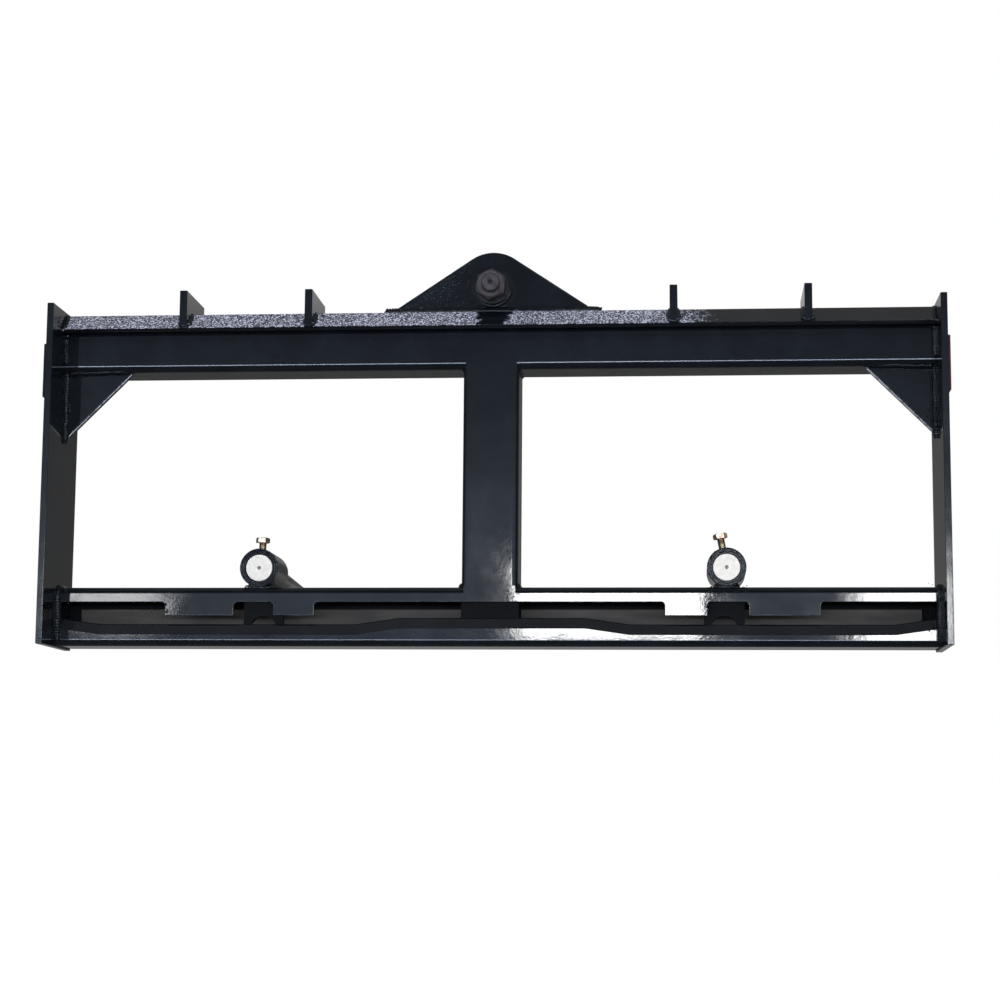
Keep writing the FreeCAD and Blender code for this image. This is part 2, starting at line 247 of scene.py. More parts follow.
def startMaterial(name):
    material = bpy.data.materials.new(name)
    material.use_nodes = True
    tree = material.node_tree
    tree.nodes.clear()
    shader = addNode(tree, "ShaderNodeBsdfPrincipled")
    addNode(tree, "ShaderNodeOutputMaterial", links={"Surface": shader.outputs[0]})
    place = addNode(tree, "ShaderNodeTexCoord").outputs["Object"]
    return material, tree, shader, place


def addNoise(tree, place, sizeMm, detail=2.0, roughness=0.5):
    # one noise whose blobs are about sizeMm across
    return addNode(tree, "ShaderNodeTexNoise",
                   {"Scale": 1.0 / (sizeMm * mm), "Detail": detail, "Roughness": roughness},
                   {"Vector": place}).outputs["Fac"]


def addRange(tree, source, low, high, toLow, toHigh):
    return addNode(tree, "ShaderNodeMapRange", {"From Min": low, "From Max": high,
                                                "To Min": toLow, "To Max": toHigh},
                   {"Value": source}).outputs[0]


def addMath(tree, operation, first, second):
    # either input may be a number or a socket
    settings = {"operation": operation}
    links = {}
    for index, value in enumerate((first, second)):
        (settings if isinstance(value, float) else links)[index] = value
    return addNode(tree, "ShaderNodeMath", settings, links).outputs[0]


def addMix(tree, share, first, second):
    # colour mix, from first at 0 to second at 1; either may be a colour or a socket
    settings = {"data_type": "RGBA"}
    links = {"Factor": share}
    for index, value in ((6, first), (7, second)):
        (settings if isinstance(value, tuple) else links)[index] = value
    return addNode(tree, "ShaderNodeMix", settings, links).outputs[2]


def addBump(tree, height, depthMm, under=None):
    links = {"Height": height}
    if under is not None:
        links["Normal"] = under
    return addNode(tree, "ShaderNodeBump", {"Strength": 1.0, "Distance": depthMm * mm}, links).outputs[0]


paintValues = {
    "base": "#07090c",
    "dusty": "#0d1014",
    "roughness": (0.03, 0.075),
    "peelMm": 3.4,        # pitch of the orange peel
    "peelDepth": 0.012,   # mm
    "waveMm": 36.0,       # long unevenness of the plate under the paint
    "waveDepth": 0.06,    # mm
    "edgeMm": 1.2,        # paint rounds the sharp corners
    "specular": 0.5,
    "grainMm": 2.0,       # blasted grit under the paint, drawn as coarse as it can be seen
    "grainRoughness": 0.5,
    "grainDepth": 0.15,   # mm
    "grainSpecular": 0.2,
    # the grain's colours run up to pale grey: painted sparkle, the light caught by the grit put into the
    # colour
    "grain": [(0.40, "#050507"), (0.48, "#2c2d34"), (0.54, "#64656f"), (0.60, "#a9aab5")],
}


def makePaint(name, values, grainMask=None):
    # gloss black enamel sprayed on mild steel: mirrors softly, wavy, with orange peel and dust;
    # where the steel under it is coarse the grit roughens and bumps it, and pale speckles in its colour are
    # painted sparkle, a painted highlight of the sky
    material, tree, shader, place = startMaterial(name)
    dust = addNoise(tree, place, 60.0, 5.0, 0.62)
    dustShare = addRange(tree, dust, 0.42, 0.80, 0.0, 1.0)
    colour = addMix(tree, dustShare, hexColour(values["base"]), hexColour(values["dusty"]))
    rough = addRange(tree, dust, 0.3, 0.75, *values["roughness"])
    edge = addNode(tree, "ShaderNodeBevel", {"samples": 4, "Radius": values["edgeMm"] * mm})
    normal = addBump(tree, addNoise(tree, place, values["waveMm"]), values["waveDepth"],
                     edge.outputs[0])
    normal = addBump(tree, addNoise(tree, place, values["peelMm"], 3.0), values["peelDepth"], normal)
    if grainMask is not None:
        mask = grainMask(tree, place)
        grain = addNoise(tree, place, values["grainMm"], 2.0, 0.6)
        # pale speckles in the colour: painted sparkle over the real grit
        grainWithPaintedSparkle = addNode(tree, "ShaderNodeValToRGB", links={"Fac": grain})
        setRamp(grainWithPaintedSparkle, [(share, hexColour(shade)) for share, shade in values["grain"]])
        colour = addMix(tree, mask, colour, grainWithPaintedSparkle.outputs[0])
        rough = addMath(tree, "MAXIMUM", rough, addMath(tree, "MULTIPLY", mask, values["grainRoughness"]))
        normal = addBump(tree, addMath(tree, "MULTIPLY", grain, mask), values["grainDepth"], normal)
        shine = addRange(tree, mask, 0.0, 1.0, values["specular"], values["grainSpecular"])
        tree.links.new(shine, shader.inputs["Specular IOR Level"])
    else:
        shader.inputs["Specular IOR Level"].default_value = values["specular"]
    tree.links.new(colour, shader.inputs["Base Color"])
    tree.links.new(rough, shader.inputs["Roughness"])
    tree.links.new(normal, shader.inputs["Normal"])
    return material


lipValues = {
    "coarseFrom": -0.568,     # X where the coarse stretch of the bar starts
    "coarseUntil": 0.245,     # and where it ends
    "patchLow": 0.013,        # half width of the nut's painted shadow, a smooth dark patch on the bar without the pale speckle
    "patchHigh": 0.025,
    "patchCentre": -0.002,
    "fade": 0.004,
    "fadeInside": 0.002,
    "endFade": 0.03,          # the coarse stretch peters out over this much of X
    "startFade": 0.003,
    "blotchMm": 9.0,          # blotches that make its outline wander
    "wander": 0.012,
    "endWander": 0.05,
    "tubeRound": 0.008,       # radius of the tube's corner
    "outerFace": 0.0137,      # the grit and its pale painted sparkle lie on the outer face only, this far out; the edge face below, turned from the light, stays dark
}


def lipGritAndSparkleMask(tree, place):
    # 1 where the bar's paint is coarse, with pale painted sparkle in its colour; 0 in the nut's painted
    # shadow and on the edge face
    axes = addNode(tree, "ShaderNodeSeparateXYZ", links={0: place})
    along = axes.outputs["X"]
    blotch = addNoise(tree, place, lipValues["blotchMm"], 3.0)
    wander, endWander = (addRange(tree, blotch, 0.3, 0.7, -lipValues[name] / 2, lipValues[name] / 2)
                         for name in ("wander", "endWander"))
    ending = addMath(tree, "ADD", along, endWander)
    start, stop = lipValues["coarseFrom"], lipValues["coarseUntil"]
    before = addRange(tree, ending, stop, stop + lipValues["endFade"], 1.0, 0.0)
    after = addRange(tree, along, start, start + lipValues["startFade"], 0.0, 1.0)
    # the nut's painted shadow is wider towards the top of the bar
    half = addRange(tree, axes.outputs["Z"], lipLow[2], lipHigh[2], lipValues["patchLow"],
                    lipValues["patchHigh"])
    # painted shadow of the nut: the mask falls to 0 in a smooth patch under it
    shifted = addMath(tree, "SUBTRACT", addMath(tree, "ADD", along, wander), lipValues["patchCentre"])
    past = addMath(tree, "SUBTRACT", addMath(tree, "ABSOLUTE", shifted, 0.0), half)
    outside = addRange(tree, past, -lipValues["fadeInside"], lipValues["fade"], 0.0, 1.0)
    # distance out from the centre of the tube's rounded corner, square to the sloping bar
    above = addMath(tree, "SUBTRACT", axes.outputs["Z"], tubeHigh[2] - lipValues["tubeRound"])
    ahead = addMath(tree, "SUBTRACT", lipValues["tubeRound"], axes.outputs["Y"])
    out = addMath(tree, "MULTIPLY", addMath(tree, "ADD", above, ahead), math.sqrt(0.5))
    # the painted sparkle stops at the edge face, which is turned from the light
    front = addRange(tree, out, lipValues["outerFace"] - 0.0004, lipValues["outerFace"], 0.0, 1.0)
    mask = addMath(tree, "MULTIPLY", before, outside)
    mask = addMath(tree, "MULTIPLY", mask, after)
    return addMath(tree, "MULTIPLY", mask, front)


# pale specks on the triangular plate: painted glints over a rough dry spray
speckValues = {
    "left": -0.09,            # X where the specks are strongest, and where they are gone
    "right": 0.02,
    "strength": 0.2,
    "speckMm": 1.6,
    "cut": (0.60, 0.67),      # noise level where a speck begins, and where it is full
}


def plateSprayGlintMask(tree, place):
    # scattered dry spray on the left half of the triangular plate; its pale specks in the colour are
    # painted glints
    axes = addNode(tree, "ShaderNodeSeparateXYZ", links={0: place})
    left = addRange(tree, axes.outputs["X"], speckValues["left"], speckValues["right"],
                    speckValues["strength"], 0.0)
    specks = addRange(tree, addNoise(tree, place, speckValues["speckMm"], 2.0, 0.6), *speckValues["cut"],
                      0.0, 1.0)
    return addMath(tree, "MULTIPLY", left, specks)


beamWall = 0.0076   # a little less than the wall, so that the inner faces count as inside


def channelMask(tree, place):
    # 1 on the faces inside the bottom beam, which get painted shade
    axes = addNode(tree, "ShaderNodeSeparateXYZ", links={0: place})
    within = []
    for axis, low, high in (("Y", beamWall, beamHigh[1] - beamWall),
                            ("Z", beamFloor + beamWall, beamHigh[2] - beamWall)):
        within.append(addMath(tree, "GREATER_THAN", axes.outputs[axis], low))
        within.append(addMath(tree, "LESS_THAN", axes.outputs[axis], high))
    mask = within[0]
    for part in within[1:]:
        mask = addMath(tree, "MULTIPLY", mask, part)
    return mask


# painted highlight: a light grey line along the gussets' rounded front edges
edgeHighlightValues = {
    "from": 0.0002,       # depth behind the front face
    "until": 0.0009,
    "colour": "#9a9ea6",
    "roughness": 0.35,
    "wornMm": 5.0,        # the painted highlight comes and goes
    "least": 0.25,
}


def makePaintWithEdgeHighlight(name, values, edges, front):
    # gloss enamel with a painted highlight: a light line along the rounded edges just behind the front face
    material = makePaint(name, values)
    tree = material.node_tree
    shader = tree.nodes["Principled BSDF"]
    place = tree.nodes["Texture Coordinate"].outputs["Object"]
    depth = addNode(tree, "ShaderNodeSeparateXYZ", links={0: place}).outputs["Y"]
    over = addMath(tree, "GREATER_THAN", depth, front + edges["from"])
    under = addMath(tree, "LESS_THAN", depth, front + edges["until"])
    highlightBreaks = addRange(tree, addNoise(tree, place, edges["wornMm"], 3.0), 0.35, 0.5, edges["least"], 1.0)
    mask = addMath(tree, "MULTIPLY", addMath(tree, "MULTIPLY", over, under), highlightBreaks)
    colour = shader.inputs["Base Color"].links[0].from_socket
    rough = shader.inputs["Roughness"].links[0].from_socket
    tree.links.new(addMix(tree, mask, colour, hexColour(edges["colour"])), shader.inputs["Base Color"])
    tree.links.new(addMath(tree, "MAXIMUM", rough, addMath(tree, "MULTIPLY", mask, edges["roughness"])),
                   shader.inputs["Roughness"])
    return material


def turnRings(tree, place, centre, pitchMm):
    # fine rings about an axis along Y, left by the lathe tool
    moved = addNode(tree, "ShaderNodeMapping", {"Location": (-centre[0], 0.0, -centre[2])},
                    {"Vector": place}).outputs[0]
    axes = addNode(tree, "ShaderNodeSeparateXYZ", links={0: moved})
    flat = addNode(tree, "ShaderNodeCombineXYZ", links={0: axes.outputs["X"], 2: axes.outputs["Z"]})
    length = addNode(tree, "ShaderNodeVectorMath", {"operation": "LENGTH"}, {0: flat.outputs[0]})
    turns = addMath(tree, "MULTIPLY", length.outputs["Value"], 2.0 * math.pi / (pitchMm * mm))
    return addMath(tree, "SINE", turns, 0.0), axes.outputs["Y"]


spearValues = {
    "bright": "#b6ab9d",
    "dull": "#a99f92",
    "ringMm": 1.6,        # tool marks, drawn coarser than real so that they show
    "ringDepth": 0.006,   # mm
    "smearMm": 9.0,
    "faceUntil": 0.0022,  # bare metal only on the turned end face
    "faceFade": 0.0006,
    "paint": "#0a0c10",
    "roughness": (0.14, 0.42),   # of the paint, and of the bare metal
}


def makeSpearMetal(name, centre, values):
    # turned mild steel end, bare and bright, on a spear that is painted black behind it
    material, tree, shader, place = startMaterial(name)
    rings, along = turnRings(tree, place, centre, values["ringMm"])
    bare = addRange(tree, along, values["faceUntil"], values["faceUntil"] + values["faceFade"],
                    1.0, 0.0)
    smear = addRange(tree, addNoise(tree, place, values["smearMm"], 4.0), 0.35, 0.7, 0.0, 1.0)
    steel = addMix(tree, smear, hexColour(values["bright"]), hexColour(values["dull"]))
    tree.links.new(addMix(tree, bare, hexColour(values["paint"]), steel), shader.inputs["Base Color"])
    tree.links.new(bare, shader.inputs["Metallic"])
    tree.links.new(addRange(tree, bare, 0.0, 1.0, *values["roughness"]), shader.inputs["Roughness"])
    tree.links.new(addBump(tree, rings, values["ringDepth"]), shader.inputs["Normal"])
    return material


oxideValues = {
    "steel": "#3a3536",
    "dark": "#1f1b1d",
    "rust": "#43160f",
    "paint": "#0a0c10",
    "metallic": 0.55,
    "roughness": 0.46,
    "toneMm": 7.0,
    "rustMm": 11.0,
    "rustBelow": (0.245, 0.232),   # Z where the rust starts to gather, and where it is full
    "rustShare": (0.1, 1.0),       # how much of it shows above and below those
    "grainMm": 1.6,
    "grainDepth": 0.06,            # mm
    "shankUntil": -0.0036,         # the dark shank shows in front of the sleeve, paint behind it
    "shankFade": 0.0005,
    "shankRoughness": (0.48, 0.14),
}
blackWasher = dict(oxideValues, steel="#121113", dark="#0a090b", rust="#170c0b")


def makeOxideSteel(name, values, paintBehind):
    # heat-blackened fastener steel, brownish, with rust-red in its grain
    material, tree, shader, place = startMaterial(name)
    tone = addRange(tree, addNoise(tree, place, values["toneMm"], 4.0, 0.6), 0.35, 0.68, 0.0, 1.0)
    colour = addMix(tree, tone, hexColour(values["dark"]), hexColour(values["steel"]))
    rust = addRange(tree, addNoise(tree, place, values["rustMm"], 5.0, 0.7), 0.55, 0.68, 0.0, 0.8)
    axes = addNode(tree, "ShaderNodeSeparateXYZ", links={0: place})
    low = addRange(tree, axes.outputs["Z"], *values["rustBelow"], *values["rustShare"])
    colour = addMix(tree, addMath(tree, "MULTIPLY", rust, low), colour, hexColour(values["rust"]))
    if paintBehind:
        behind = addRange(tree, axes.outputs["Y"], values["shankUntil"],
                          values["shankUntil"] + values["shankFade"], 0.0, 1.0)
        colour = addMix(tree, behind, colour, hexColour(values["paint"]))
        metallic = addRange(tree, behind, 0.0, 1.0, values["metallic"], 0.0)
        tree.links.new(metallic, shader.inputs["Metallic"])
        rough = addRange(tree, behind, 0.0, 1.0, *values["shankRoughness"])
        tree.links.new(rough, shader.inputs["Roughness"])
    else:
        shader.inputs["Metallic"].default_value = values["metallic"]
        shader.inputs["Roughness"].default_value = values["roughness"]
    tree.links.new(colour, shader.inputs["Base Color"])
    grain = addNoise(tree, place, values["grainMm"], 3.0)
    tree.links.new(addBump(tree, grain, values["grainDepth"]), shader.inputs["Normal"])
    return material


zincValues = {
    "gold": "#a89880",
    "rose": "#8f6a60",
    "straw": "#cfc6ae",
    "driftMm": 6.0,       # size of the colour patches
    "roughness": 0.28,
    "pitMm": 1.3,
    "pitDepth": 0.02,     # mm
}


def makeYellowZinc(name, values):
    # zinc plate with a yellow chromate: brassy, drifting to rose and straw
    material, tree, shader, place = startMaterial(name)
    tint = addNode(tree, "ShaderNodeValToRGB",
                   links={"Fac": addNoise(tree, place, values["driftMm"], 3.0)})
    setRamp(tint, [(0.34, hexColour(values["rose"])), (0.5, hexColour(values["gold"])),
                   (0.66, hexColour(values["straw"]))])
    tree.links.new(tint.outputs[0], shader.inputs["Base Color"])
    shader.inputs["Metallic"].default_value = 1.0
    shader.inputs["Roughness"].default_value = values["roughness"]
    pits = addNoise(tree, place, values["pitMm"])
    tree.links.new(addBump(tree, pits, values["pitDepth"]), shader.inputs["Normal"])
    return material


# mid grey on the back bar inside the beam, lighter than the black paint round it
backBarGreyValues = {"base": "#4e4841", "dark": "#3b3631", "roughness": 0.6}
primerValues = {"base": "#351411", "dark": "#200f0d", "roughness": 0.5}
# painted shade: a dull, near-black copy of the black paint for pieces deep in the beam
paintedShadeValues = {"base": "#060607", "dark": "#030304", "roughness": 0.7}
dullShine = 0.12   # specular level of the dry coats


def dryCoat(tree, place, values):
    # colour of a matt coat, in patches drawn out along the beam; with the painted shade values it is
    # painted shade
    stretched = addNode(tree, "ShaderNodeMapping", {"Scale": (0.2, 1.0, 1.0)}, {"Vector": place})
    patch = addRange(tree, addNoise(tree, stretched.outputs[0], 14.0, 4.0), 0.3, 0.7, 0.0, 1.0)
    return addMix(tree, patch, hexColour(values["base"]), hexColour(values["dark"]))


def makeDryPaint(name, values):
    # matt, neutral coat inside the beam: near black, it is painted shade on the recessed pieces; it also
    # gives the back bar its mid grey
    material, tree, shader, place = startMaterial(name)
    tree.links.new(dryCoat(tree, place, values), shader.inputs["Base Color"])
    shader.inputs["Roughness"].default_value = values["roughness"]
    shader.inputs["Specular IOR Level"].default_value = dullShine
    tree.links.new(addBump(tree, addNoise(tree, place, 3.0), 0.08), shader.inputs["Normal"])
    return material


def makeChannelPaint(name, values, shade):
    # gloss black enamel outside, and painted shade inside the folded channel: dull and near black
    material = makePaint(name, values)
    tree = material.node_tree
    shader = tree.nodes["Principled BSDF"]
    place = tree.nodes["Texture Coordinate"].outputs["Object"]
    mask = channelMask(tree, place)
    colour = shader.inputs["Base Color"].links[0].from_socket
    rough = shader.inputs["Roughness"].links[0].from_socket
    dull = addMix(tree, mask, colour, dryCoat(tree, place, shade))
    tree.links.new(dull, shader.inputs["Base Color"])
    rough = addMath(tree, "MAXIMUM", rough, addMath(tree, "MULTIPLY", mask, shade["roughness"]))
    tree.links.new(rough, shader.inputs["Roughness"])
    tree.links.new(addRange(tree, mask, 0.0, 1.0, 0.5, dullShine), shader.inputs["Specular IOR Level"])
    return material


glossPaint = makePaint("glossBlackEnamel", paintValues)
# painted shade on the beam's inner faces, the post's foot and the saddles under the sleeves
channelPaint = makeChannelPaint("channelEnamel", paintValues, paintedShadeValues)
paintedShadeMaterial = makeDryPaint("thinBlackCoat", paintedShadeValues)
platePaint = makePaint("sidePlateEnamel", dict(paintValues, roughness=(0.06, 0.12)))
# the gussets get a painted highlight along their front edges
gussetPaint = makePaintWithEdgeHighlight("gussetEnamel", paintValues, edgeHighlightValues, gussetLow[1])
sleevePaint = makePaint("sleeveEnamel", dict(paintValues, roughness=(0.05, 0.12), specular=0.14, peelMm=2.0,
                                             peelDepth=0.12))
# a weld's skin is rougher than rolled plate, and sparkles in small glints
weldPaint = makePaint("weldEnamel", dict(paintValues, roughness=(0.04, 0.12), specular=0.35, peelMm=2.0,
                                         peelDepth=0.10, waveMm=7.0, waveDepth=0.35))
finishes = {
    # the bar's coarse stretch: real grit, with painted sparkle in its colour and a painted shadow under the
    # nut
    "top_lip": makePaint("coarseBlackEnamel", paintValues, lipGritAndSparkleMask),
    # pale specks on the plate: painted glints
    "mount_plate_front": makePaint("drySprayedEnamel", paintValues, plateSprayGlintMask),
    "beam_back_bar": makeDryPaint("thinGreyCoat", backBarGreyValues),
    "upper_beam_channel": channelPaint,
    "lower_beam_channel": channelPaint,
    "post_foot": paintedShadeMaterial,
    "corner_gusset_left": gussetPaint,
    "corner_gusset_right": gussetPaint,
    "side_plate_left": platePaint,
    "side_plate_right": platePaint,
    "side_pad_right": makeDryPaint("redPrimer", primerValues),
    "sleeve_saddle_left": paintedShadeMaterial,
    "sleeve_saddle_right": paintedShadeMaterial,
    "spear_nut": makeOxideSteel("oxideSteelNut", oxideValues, False),
    "spear_washer": makeOxideSteel("oxideSteelWasher", blackWasher, False),
    "top_spear": makeOxideSteel("oxideSteelShank", oxideValues, True),
}
for side in ("left", "right"):
    finishes["stabiliser_sleeve_" + side] = sleevePaint
    finishes["stabiliser_spear_" + side] = makeSpearMetal(
        "turnedSteel" + side.title(), centreOf("stabiliser_spear_" + side), spearValues)
    finishes["set_bolt_" + side] = makeYellowZinc("yellowZinc" + side.title(), zincValues)
for name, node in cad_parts.items():
    node.data.materials.clear()
    node.data.materials.append(finishes.get(name, glossPaint))
print("materials made")


# weld beads

def deselectAll():
    if bpy.context.object and bpy.context.object.mode != "OBJECT":
        bpy.ops.object.mode_set(mode="OBJECT")
    bpy.ops.object.select_all(action="DESELECT")


def makeOnly(piece):
    deselectAll()
    piece.select_set(True)
    bpy.context.view_layer.objects.active = piece


def selectVerts(piece, test):
    # in edit mode: selects the vertices that pass the test, and what lies between them
    bpy.ops.mesh.select_mode(type="VERT")
    bpy.ops.mesh.select_all(action="DESELECT")
    mesh = bmesh.from_edit_mesh(piece.data)
    for vertex in mesh.verts:
        vertex.select_set(test(vertex.co))
    mesh.select_flush(True)
    bmesh.update_edit_mesh(piece.data)


def joinAll(pieces, name):
    deselectAll()
    for piece in pieces:
        piece.select_set(True)
    bpy.context.view_layer.objects.active = pieces[0]
    if len(pieces) > 1:
        bpy.ops.object.join()
    joined = bpy.context.object
    joined.name = name
    joined.data.name = name
    return joined


def finishPiece(piece, material, body="frame", smooth=50.0):
    makeOnly(piece)
    bpy.ops.object.transform_apply(location=True, rotation=True, scale=True)
    bpy.ops.object.shade_smooth_by_angle(angle=math.radians(smooth))
    piece.data.materials.clear()
    piece.data.materials.append(material)
    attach(piece, body)


beadValues = {
    "sides": 10,
    "pitch": 3.6,         # mm from ripple to ripple
    "pinch": 0.74,        # radius between two ripples
    "lean": 26.0,         # ripples lie back like scales
    "wanderMm": 1.8,      # unevenness of a bead laid by hand
    "wanderSizeMm": 7.0,
    "ripple": 0.7,        # length of one ripple when its radius is 1
    "bulge": 0.97,        # radius just past the pinch
    "ends": ((0.75, 0.86), (0.4, 0.72)),   # (reach, radius) of the steps that narrow an end
    "merge": 0.002,
}


def makeRipple(values):
    # one ripple of a bead, radius 1, along Z, with both ends open so that copies join up
    deselectAll()
    pitch = values["ripple"]
    bpy.ops.mesh.primitive_cylinder_add(vertices=values["sides"], radius=1.0, depth=pitch,
                                        end_fill_type="NOTHING", location=(0, 0, pitch / 2))
    ripple = bpy.context.object
    bpy.ops.object.transform_apply(location=True, rotation=True, scale=True)
    bpy.ops.object.mode_set(mode="EDIT")
    bpy.ops.mesh.select_mode(type="EDGE")
    bpy.ops.mesh.select_all(action="DESELECT")
    mesh = bmesh.from_edit_mesh(ripple.data)
    for edge in mesh.edges:
        edge.select_set(abs(edge.verts[0].co.z - edge.verts[1].co.z) > pitch / 2)
    bmesh.update_edit_mesh(ripple.data)
    bpy.ops.mesh.subdivide(number_cuts=2)
    for height, size in ((0.0, values["pinch"]), (pitch / 3, values["bulge"]), (pitch, values["pinch"])):
        selectVerts(ripple, lambda co: abs(co.z - height) < 0.01)
        bpy.ops.transform.resize(value=(size, size, 1.0))
    bpy.ops.mesh.select_all(action="SELECT")
    bpy.ops.transform.rotate(value=math.radians(values["lean"]), orient_axis="Y",
                             center_override=(0.0, 0.0, 0.0))
    bpy.ops.object.mode_set(mode="OBJECT")
    ripple.name = "rippleMaster"
    return ripple, pitch


def layBead(ripple, pitch, start, end, radius, away, values):
    # a bead from start to end, whose crown faces away; radius in mm
    start, end = Vector(start), Vector(end)
    along = (end - start).normalized()
    length = (end - start).length
    count = max(2, round(length / (values["pitch"] * mm)))
    bead = ripple.copy()
    bead.data = ripple.data.copy()
    bpy.context.scene.collection.objects.link(bead)
    makeOnly(bead)
    row = bead.modifiers.new("row", "ARRAY")
    row.count = count
    row.use_relative_offset = False
    row.use_constant_offset = True
    row.constant_offset_displace = (0.0, 0.0, pitch)
    row.use_merge_vertices = True
    row.merge_threshold = values["merge"]
    bpy.ops.object.modifier_apply(modifier="row")
    total = count * pitch
    bpy.ops.object.mode_set(mode="EDIT")
    # both ends narrow over the last ripple
    for reach, size in values["ends"]:
        for low, high in ((-1.0, reach), (total - reach, total + 1.0)):
            selectVerts(bead, lambda co: low < co.z - co.x * math.tan(math.radians(-values["lean"])) < high)
            bpy.ops.transform.resize(value=(size, size, 1.0))
    bpy.ops.mesh.select_all(action="SELECT")
    bpy.ops.mesh.fill_holes(sides=0)
    bpy.ops.mesh.normals_make_consistent(inside=False)
    bpy.ops.object.mode_set(mode="OBJECT")
    away = Vector(away)
    outward = (away - along * away.dot(along)).normalized()
    across = along.cross(outward)
    bead.matrix_world = Matrix((
        (outward.x, across.x, along.x, start.x),
        (outward.y, across.y, along.y, start.y),
        (outward.z, across.z, along.z, start.z),
        (0.0, 0.0, 0.0, 1.0))) @ Matrix.Diagonal((radius * mm, radius * mm, length / total, 1.0))
    makeOnly(bead)
    bpy.ops.object.transform_apply(location=True, rotation=True, scale=True)
    return bead


def layRing(centre, ringRadius, radius, values, arc):
    # a rippled bead round an axis along Y; angles run from +X towards +Z
    ripples = round(2 * math.pi * ringRadius / (values["pitch"] * mm))
    deselectAll()
    bpy.ops.mesh.primitive_torus_add(major_radius=ringRadius, minor_radius=radius * mm,
                                     major_segments=ripples * 3, minor_segments=values["sides"],
                                     location=centre, rotation=(math.radians(90), 0, 0))
    ring = bpy.context.object
    bpy.ops.object.transform_apply(location=True, rotation=True, scale=True)
    step = 2 * math.pi / (ripples * 3)

    def angleOf(co):
        return math.atan2(co.z - centre[2], co.x - centre[0]) % (2 * math.pi)

    bpy.ops.object.mode_set(mode="EDIT")
    selectVerts(ring, lambda co: round(angleOf(co) / step) % 3 == 0)
    bpy.ops.transform.shrink_fatten(value=-radius * mm * (1 - values["pinch"]))
    low, high = (math.radians(a) for a in arc)
    if high - low < 2 * math.pi - 0.01:
        selectVerts(ring, lambda co: not (low <= (angleOf(co) - low) % (2 * math.pi) + low <= high))
        bpy.ops.mesh.delete(type="VERT")
        bpy.ops.mesh.select_all(action="SELECT")
        bpy.ops.mesh.fill_holes(sides=0)
        bpy.ops.mesh.normals_make_consistent(inside=False)
    bpy.ops.object.mode_set(mode="OBJECT")
    return ring


def roughen(piece, strengthMm, sizeMm):
    # hand-laid unevenness, pushed into the mesh itself
    makeOnly(piece)
    cloud = bpy.data.textures.new(piece.name + "Cloud", "CLOUDS")
    cloud.noise_scale = sizeMm * mm
    push = piece.modifiers.new("unevenness", "DISPLACE")
    push.texture = cloud
    push.texture_coords = "LOCAL"
    push.strength = strengthMm * mm
    push.mid_level = 0.5
    bpy.ops.object.modifier_apply(modifier="unevenness")


ripple, ripplePitch = makeRipple(beadValues)


def sideBeads(side):
    # name of the group: beads as (start, end, radius in mm, crown direction)
    x = side * (plateInside - 0.0016)
    inward = -side
    gussetEnd = side * (plateInside - 0.080)
    return {
        "railWelds": [
            ((x, 0.0, tubeLow[2] + 0.008), (x, 0.0, lipLow[2] - 0.001), 5.2, (inward, -1, 0)),
            ((x, tubeHigh[1], tubeLow[2] + 0.006), (x, tubeHigh[1], tubeHigh[2] - 0.006), 5.0,
             (inward, 1, 0)),
            ((x, 0.010, tubeHigh[2]), (x, tubeHigh[1] - 0.006, tubeHigh[2]), 4.6, (inward, 0, 1)),
            ((x, lipLow[1] - 0.0005, lipLow[2] + 0.004), (x, lipHigh[1] - 0.006, lipHigh[2] - 0.001), 3.6,
             (inward, -1, 1)),
        ],
        "gussetWelds": [
            ((x, gussetLow[1] - 0.0006, tubeLow[2] + 0.008),
             (x, gussetLow[1] - 0.0006, gussetLow[2] - 0.006), 5.0, (inward, -1, 0)),
            ((x + inward * 0.002, gussetLow[1] - 0.003, gussetHigh[2] - 0.0010),
             (gussetEnd + inward * 0.010, gussetLow[1] - 0.001, gussetHigh[2] + 0.0010), 4.6, (0, -1, -1)),
            ((x, gussetHigh[1] + 0.0006, tubeLow[2]), (x, gussetHigh[1] + 0.0006, gussetLow[2] + 0.002),
             4.4, (inward, 1, 0)),
            ((x + inward * 0.008, gussetHigh[1] + 0.001, gussetHigh[2]),
             (gussetEnd, gussetHigh[1] + 0.001, gussetHigh[2]), 4.4, (0, 1, -1)),
        ],
        "beamEndWelds": [
            ((x, 0.0, beamFloor + 0.004), (x, 0.0, beamHigh[2] - 0.006), 5.4, (inward, -1, 0)),
            ((x, 0.004, beamHigh[2]), (x, beamHigh[1] - 0.006, beamHigh[2]), 4.8, (inward, 0, 1)),
            ((x, beamHigh[1], beamFloor + 0.006), (x, beamHigh[1], beamHigh[2] - 0.006), 5.0,
             (inward, 1, 0)),
            ((x, 0.012, beamFloor + 0.0014), (x, beamHigh[1] - 0.008, beamFloor + 0.0014), 2.4,
             (inward, 0, -1)),
        ],
    }


def postBeads():
    left, right = postLow[0], postHigh[0]
    beads = []
    for x, side in ((left + 0.0008, -1), (right - 0.0008, 1)):
        beads.append(((x, 0.006, postHigh[2]), (x, postHigh[1] - 0.006, postHigh[2]), 4.4, (side, 0, -1)))
        foot = postLow[2] + 0.0004
        beads.append(((x, 0.004, foot), (x, postHigh[1] - 0.004, foot), 6.2, (side, 0, 1)))
    corner = postLow[2] - 0.001
    beads.append(((left + 0.003, 0.002, corner), (left + 0.020, 0.002, corner), 3.0, (0, -1, 0)))
    y = postHigh[1] - 0.0012
    beads.append(((left + 0.004, y, postLow[2]), (right - 0.004, y, postLow[2]), 3.0, (0, 1, 0)))
    beads.append(((left + 0.004, y, postHigh[2]), (right - 0.004, y, postHigh[2]), 2.8, (0, 1, 0)))
    return beads


